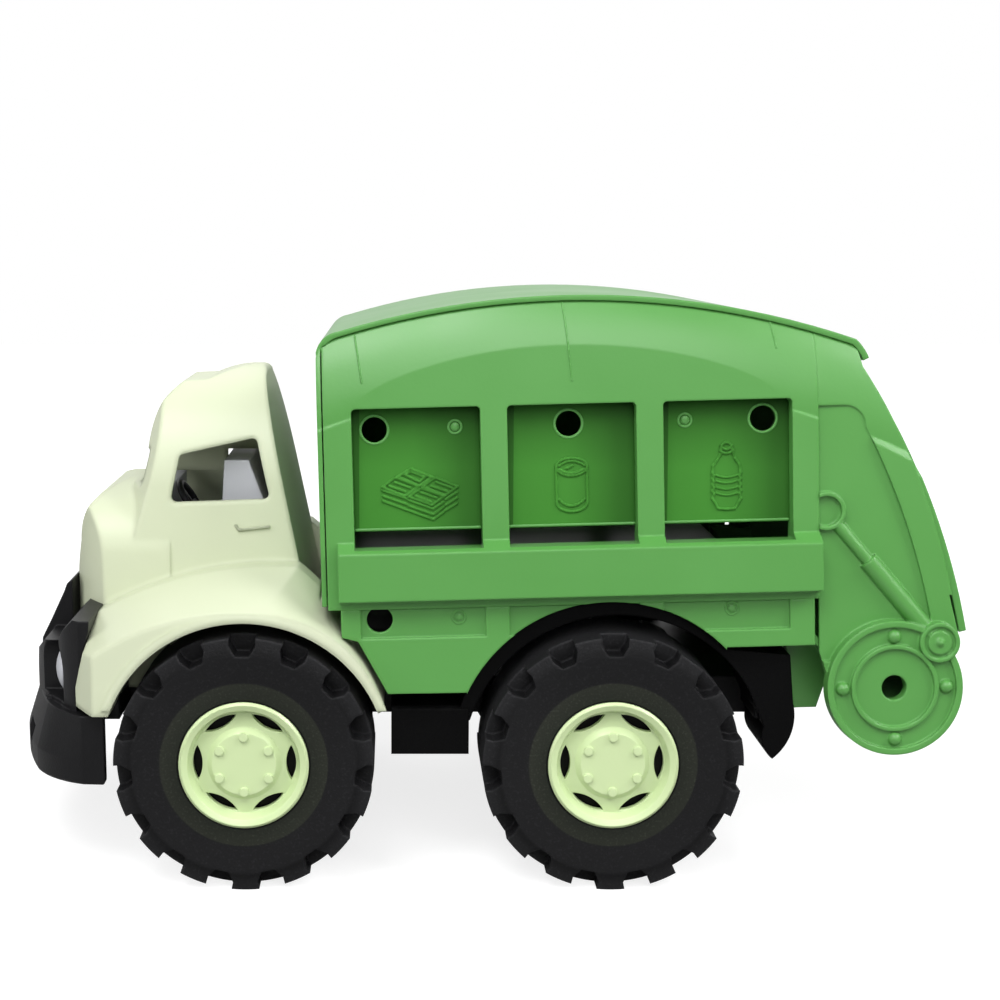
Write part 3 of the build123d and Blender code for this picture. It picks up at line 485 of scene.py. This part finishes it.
def arc_path(start, middle, end, out=bay_out, steps=8):
    """Smooth curve through three points (distance, height)."""
    path = []
    for index in range(steps + 1):
        t = index / steps
        weights = ((1 - t) * (1 - 2 * t), 4 * t * (1 - t), t * (2 * t - 1))
        path.append((
            sum(w * p[0] for w, p in zip(weights, (start, middle, end))), out,
            sum(w * p[1] for w, p in zip(weights, (start, middle, end)))))
    return path


def bulge_path(centre, width, rise, out=bay_out, steps=12):
    """Half an ellipse about a point on the side, from its front end to its rear end."""
    turns = [math.pi * index / steps for index in range(steps + 1)]
    return [(centre[0] + width * math.cos(t), out, centre[1] + rise * math.sin(t)) for t in turns]


# The first bay shows a fanned stack of papers, moulded as fine raised lines. Like the other reliefs, they
# take the bay colour with its painted shade.
line = 0.00050
paper_bm = bmesh.new()
paper_quads = [
    [(-52.4, 131.5), (-58.9, 128.8), (-55.0, 126.3), (-48.4, 129.1)],
    [(-52.4, 130.6), (-56.7, 128.8), (-55.0, 127.5), (-50.6, 129.7)],
    [(-47.6, 128.9), (-54.6, 126.0), (-50.5, 123.2), (-43.8, 126.1)],
    [(-59.9, 128.6), (-66.6, 125.7), (-62.7, 123.1), (-56.0, 126.0)],
    [(-55.4, 125.5), (-62.3, 122.8), (-58.7, 120.3), (-51.7, 123.0)]]
paper_lines = [
    [(-47.4, 127.5), (-52.1, 125.7)], [(-45.8, 126.4), (-50.5, 124.6)], [(-60.1, 127.2), (-64.8, 125.4)],
    [(-58.5, 126.1), (-63.2, 124.4)], [(-55.2, 124.3), (-59.9, 122.5)], [(-53.7, 123.2), (-58.4, 121.3)],
    [(-43.7, 125.1), (-51.0, 122.4)], [(-43.9, 123.4), (-50.9, 120.7)], [(-43.8, 121.9), (-50.9, 119.0)],
    [(-51.6, 121.9), (-59.0, 119.1), (-62.1, 121.1)], [(-51.6, 120.2), (-59.0, 117.4), (-62.1, 119.6)],
    [(-51.5, 118.8), (-58.9, 115.9), (-62.0, 117.9)], [(-62.8, 121.9), (-66.4, 124.0)],
    [(-62.8, 120.2), (-66.4, 122.3)], [(-62.7, 118.5), (-66.3, 120.6)]]
for quad in paper_quads:
    rib(paper_bm, flat_path(quad, closed=True), line, bed_side)
for stroke in paper_lines:
    rib(paper_bm, flat_path(stroke), line, bed_side)
mirror_copy(paper_bm)
add_piece("paper_relief", paper_bm, bay_shaded_green, "bed")

# The second bay shows a drinks can and the third a ribbed bottle, in the same raised lines.
can_bm = bmesh.new()
for stroke in (
        flat_path([(-96.6, 131.0), (-96.6, 120.0)]), flat_path([(-106.0, 131.0), (-106.0, 120.0)]),
        bulge_path((-101.3, 131.0), 4.7, 2.5), bulge_path((-101.3, 131.0), 4.7, -2.9),
        bulge_path((-101.3, 120.0), 4.7, -2.8),
        arc_path((-97.4, 120.9), (-101.1, 118.9), (-105.1, 120.9)),
        arc_path((-97.4, 131.2), (-101.3, 132.6), (-105.3, 131.2)),
        arc_path((-97.4, 130.2), (-101.2, 128.9), (-105.1, 130.2)),
        flat_path([(-99.8, 130.4), (-101.6, 131.2)])):
    rib(can_bm, stroke, line, bed_side)
mirror_copy(can_bm)
add_piece("can_relief", can_bm, bay_shaded_green, "bed")
bottle_bm = bmesh.new()
bottle_left = [(-150.3, 133.7), (-151.0, 132.0), (-152.3, 130.1), (-152.5, 128.0)]
bottle_right = [(-146.6, 133.4), (-145.4, 131.6), (-144.2, 130.0), (-144.1, 128.0)]
for height in (126.9, 125.1, 123.3, 121.4, 119.1):
    bottle_left += [(-152.7, height + 0.8), (-152.1, height)]
    bottle_right += [(-143.9, height + 0.8), (-144.5, height)]
for stroke in (
        flat_path(bottle_left + [(-150.8, 116.9), (-148.2, 116.7), (-145.6, 117.0)] + bottle_right[::-1]),
        arc_path((-146.7, 135.9), (-148.4, 137.0), (-150.1, 135.9)),
        arc_path((-146.7, 135.9), (-148.4, 134.9), (-150.1, 135.9)),
        flat_path([(-146.7, 135.9), (-146.7, 134.6)]), flat_path([(-150.1, 135.9), (-150.1, 134.6)]),
        arc_path((-146.4, 134.6), (-148.4, 133.7), (-150.4, 134.7))):
    rib(bottle_bm, stroke, line, bed_side)
for height in (127.1, 125.4, 123.5, 121.7):
    rib(bottle_bm, arc_path((-145.2, height), (-148.4, height - 0.7), (-151.6, height)), line * 0.8, bed_side)
mirror_copy(bottle_bm)
add_piece("bottle_relief", bottle_bm, bay_shaded_green, "bed")

# Each bay panel ends below in a rounded bright lip, and a raised rim runs round every peg hole.
# Low round buttons fill the other corners and the skirt.
trim_bm = bmesh.new()
bay_starts = [bay_first - bay_pitch * index for index in range(3)]
for bay_start in bay_starts:
    lip = flat_path([(bay_start - 0.5, 113.2), (bay_start - 38.3, 113.2)], out=bay_out - 0.35)
    rib(trim_bm, lip, 0.00055, bed_side)


def around(centre, radius, out, steps=28):
    """Closed circle about a point on the side."""
    turns = [2 * math.pi * index / steps for index in range(steps + 1)]
    return [(centre[0] + radius * math.cos(t), out, centre[1] + radius * math.sin(t)) for t in turns]


for hole in ((-41.7, 143.6), (-100.6, 144.0), (-159.5, 144.1)):
    rib(trim_bm, around(hole, 4.25, bay_out - 0.15), 0.00042, bed_side)
skirt_out = -1.2
buttons = (
    ((-66.2, 143.9), bay_out), ((-135.9, 144.1), bay_out),
    ((-66.0, 86.3), skirt_out), ((-148.8, 86.9), skirt_out))
for button, out in buttons:
    rib(trim_bm, around(button, 2.0, out - 0.1, 20), 0.00038, bed_side)
    centre = bed_side @ Vector((button[0], out, button[1]))
    dome = bmesh.ops.create_uvsphere(
        trim_bm, u_segments=16, v_segments=8, radius=0.0014, matrix=Matrix.Translation(centre))
    bmesh.ops.scale(trim_bm, vec=(1, 0.4, 1), space=Matrix.Translation(-centre), verts=dome["verts"])
mirror_copy(trim_bm)
add_piece("side_trim", trim_bm, bed_green, "bed")

# Three fine raised seams run down the upper part of each side wall. Their lines are dropped onto
# the wall from outside.
wall_mesh = nodes["bed_side_left"].data
wall_tree = BVHTree.FromPolygons(
    [vertex.co for vertex in wall_mesh.vertices], [face.vertices for face in wall_mesh.polygons])
seam_bm = bmesh.new()
seam_ends = (
    ((-36.2, 170.7), (-38.4, 154.3)), ((-98.9, 181.0), (-101.4, 153.5)), ((-161.2, 174.6), (-163.1, 161.5)))
seam_steps = 12
for top, low in seam_ends:
    seam = []
    for step in range(seam_steps + 1):
        share = step / seam_steps
        distance = top[0] + (low[0] - top[0]) * share
        height = top[1] + (low[1] - top[1]) * share
        start = bed_side @ Vector((distance, 40.0, height))
        hit = wall_tree.ray_cast(start, Vector((0, -1, 0)))[0]
        if hit:
            seam.append(hit - Vector((0, 0.0001, 0)))
    rib(seam_bm, seam, 0.00035, Matrix.Identity(4))
mirror_copy(seam_bm)
add_piece("crown_seams", seam_bm, bed_green, "bed")
